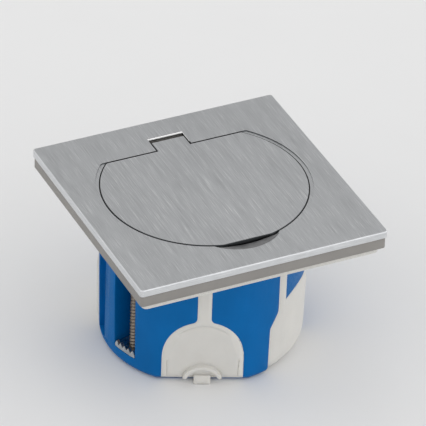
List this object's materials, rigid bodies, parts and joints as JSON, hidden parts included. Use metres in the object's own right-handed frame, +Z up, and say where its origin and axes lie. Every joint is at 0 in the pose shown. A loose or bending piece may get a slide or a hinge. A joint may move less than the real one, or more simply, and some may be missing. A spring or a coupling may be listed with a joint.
{
  "type": "recessed countertop socket",
  "caption": "Flush worktop socket: square brushed steel cover with a hinged round lid over a round blue box with pierceable membranes and claws.",
  "frame": {"origin": "under the middle of the square cover, level with the box's underside", "axes": "+Z up out of the worktop, +Y towards the lid's hinge, +X to the right seen from the finger scoop"},
  "size_m": [0.086, 0.086, 0.0566],
  "materials": {
    "steel_cover": "brushed along the hinge-to-scoop direction",
    "steel_plain": "bright zinc-plated",
    "brass": "plain",
    "spring_steel": "bright wire",
    "taupe_plastic": "satin moulded",
    "pale_foam": "closed-cell foam",
    "dark_plastic": "fine-grained moulded",
    "grey_plastic": "moulded",
    "blue_plastic": "smooth moulded polypropylene",
    "ivory_soft": "soft moulded elastomer",
    "black_rubber": "moulded seal"
  },
  "bodies": {
    "box_and_socket": {"cover_plate": "steel_cover", "hinge_pin": "spring_steel", "hinge_spring": "spring_steel", "under_frame": "taupe_plastic", "frame_screws": "steel_plain", "gasket": "pale_foam", "chassis": "steel_plain", "device_screws": "steel_plain", "socket_well": "dark_plastic", "shutter_spring": "spring_steel", "contact_block": "grey_plastic", "block_screws": "steel_plain", "line_contact": "brass", "neutral_contact": "brass", "earth_pin": "brass", "earth_terminal": "brass", "terminal_screws": "steel_plain", "box_shell": "blue_plastic", "membrane_front": "ivory_soft", "membrane_back": "ivory_soft", "membrane_right": "ivory_soft", "membrane_left": "ivory_soft"},
    "lid_assembly": {"lid": "steel_cover", "lid_liner": "dark_plastic", "lid_seal": "black_rubber", "lid_screws": "steel_plain"},
    "shutter": {"shutter": "grey_plastic"},
    "claw_left": {"claw_left": "steel_plain"},
    "claw_nut_left": {"claw_nut_left": "steel_plain"},
    "claw_screw_left": {"claw_screw_left": "steel_plain"},
    "claw_right": {"claw_right": "steel_plain"},
    "claw_nut_right": {"claw_nut_right": "steel_plain"},
    "claw_screw_right": {"claw_screw_right": "steel_plain"}
  },
  "joints": [
    {"name": "lid_hinge", "type": "hinge", "parent": "box_and_socket", "child": "lid_assembly", "pos_m": [0, 0.03, 0.0542], "axis": [-1, 0, 0], "range_deg": [0, 108], "stiffness_Nm_per_rad": 0.003, "springref_deg": -20.05, "deforming": ["hinge_spring"]},
    {"name": "shutter_slide", "type": "slide", "parent": "box_and_socket", "child": "shutter", "axis": [0, -1, 0], "range_m": [0, 0.0062], "stiffness_N_per_m": 60, "springref_m": -0.002, "deforming": ["shutter_spring"]},
    {"name": "claw_screw_turn_left", "type": "hinge", "parent": "box_and_socket", "child": "claw_screw_left", "pos_m": [-0.02735, -0.00546, 0.025], "axis": [0, 0, -1], "range_deg": [0, 8064]},
    {"name": "claw_nut_lift_left", "type": "slide", "parent": "box_and_socket", "child": "claw_nut_left", "axis": [0, 0, 1], "range_m": [0, 0.028]},
    {"name": "claw_lift_left", "type": "slide", "parent": "box_and_socket", "child": "claw_left", "axis": [-0.1019, -0.0311, 0.9943], "range_m": [0, 0.02816]},
    {"name": "claw_screw_turn_right", "type": "hinge", "parent": "box_and_socket", "child": "claw_screw_right", "pos_m": [0.02735, 0.01126, 0.025], "axis": [0, 0, -1], "range_deg": [0, 8064]},
    {"name": "claw_nut_lift_right", "type": "slide", "parent": "box_and_socket", "child": "claw_nut_right", "axis": [0, 0, 1], "range_m": [0, 0.028]},
    {"name": "claw_lift_right", "type": "slide", "parent": "box_and_socket", "child": "claw_right", "axis": [0.1019, 0.0311, 0.9943], "range_m": [0, 0.02816]}
  ],
  "couplings": [
    {"joint": "claw_screw_turn_left", "follows": "claw_nut_lift_left", "rad_per_m": 5026.5},
    {"joint": "claw_lift_left", "follows": "claw_nut_lift_left", "ratio": 1.0057},
    {"joint": "claw_screw_turn_right", "follows": "claw_nut_lift_right", "rad_per_m": 5026.5},
    {"joint": "claw_lift_right", "follows": "claw_nut_lift_right", "ratio": 1.0057}
  ]
}
